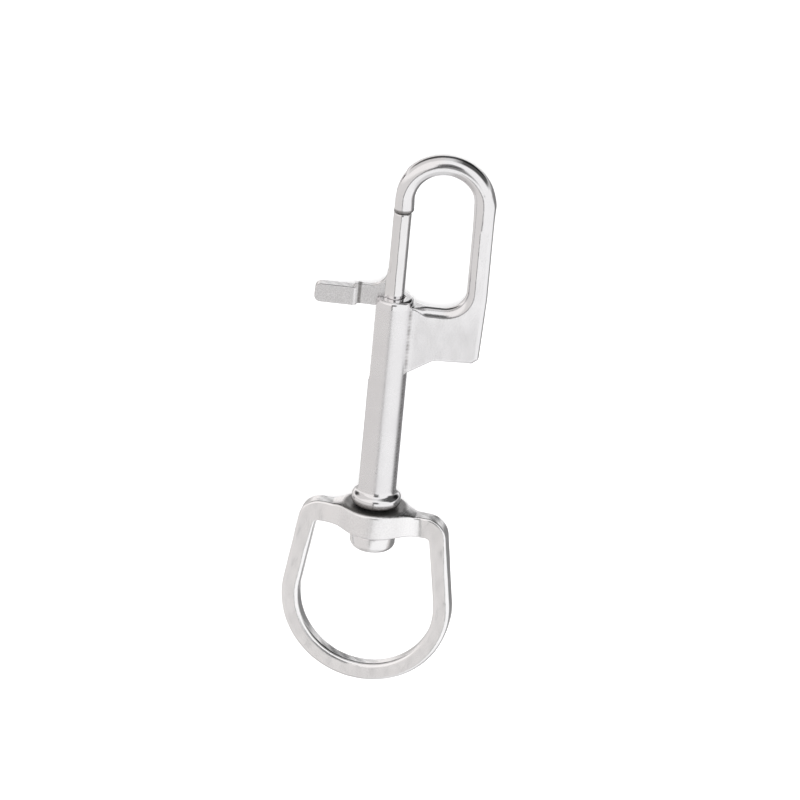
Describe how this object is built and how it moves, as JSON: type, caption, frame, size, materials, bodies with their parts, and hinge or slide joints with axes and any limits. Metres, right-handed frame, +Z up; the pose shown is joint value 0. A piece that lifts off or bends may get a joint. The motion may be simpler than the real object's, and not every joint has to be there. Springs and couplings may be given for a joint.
{
  "type": "swivel snap hook",
  "caption": "Bolt snap with a round barrel, a spring bolt drawn back by a side thumb lever, a tall narrow hook loop and a D-shaped strap eye that turns on a headed rivet.",
  "frame": {"origin": "centre of the bounding box, on the surface the hook lies on", "axes": "+X towards the hook's arch, along the lying object's length; -Y towards the web and spine, +Y towards the thumb lever; +Z up. The barrel's axis dips 3.39 degrees towards the hook, because the eye's boss is thicker than the arch."},
  "size_m": [0.1161, 0.0357, 0.0135],
  "materials": {
    "cast_body": "tumble-polished stainless casting",
    "bolt": "tumble-polished stainless casting",
    "spring": "drawn stainless wire",
    "rivet": "polished stainless",
    "cast_eye": "tumble-polished stainless casting"
  },
  "bodies": {
    "hook": {"hook_body": "cast_body", "swivel_rivet": "rivet", "return_spring": "spring"},
    "bolt": {"sliding_bolt": "bolt"},
    "eye": {"swivel_ring": "cast_eye"}
  },
  "joints": [
    {"name": "bolt_slide", "type": "slide", "parent": "hook", "child": "bolt", "axis": [-0.9982, 0, 0.0592], "range_m": [0, 0.016], "stiffness_N_per_m": 350, "springref_m": -0.01, "deforming": ["return_spring"]},
    {"name": "eye_swivel", "type": "hinge", "parent": "hook", "child": "eye", "pos_m": [-0.02226, 0.00063, 0.00674], "axis": [0.9982, 0, -0.0592], "continuous": true}
  ]
}
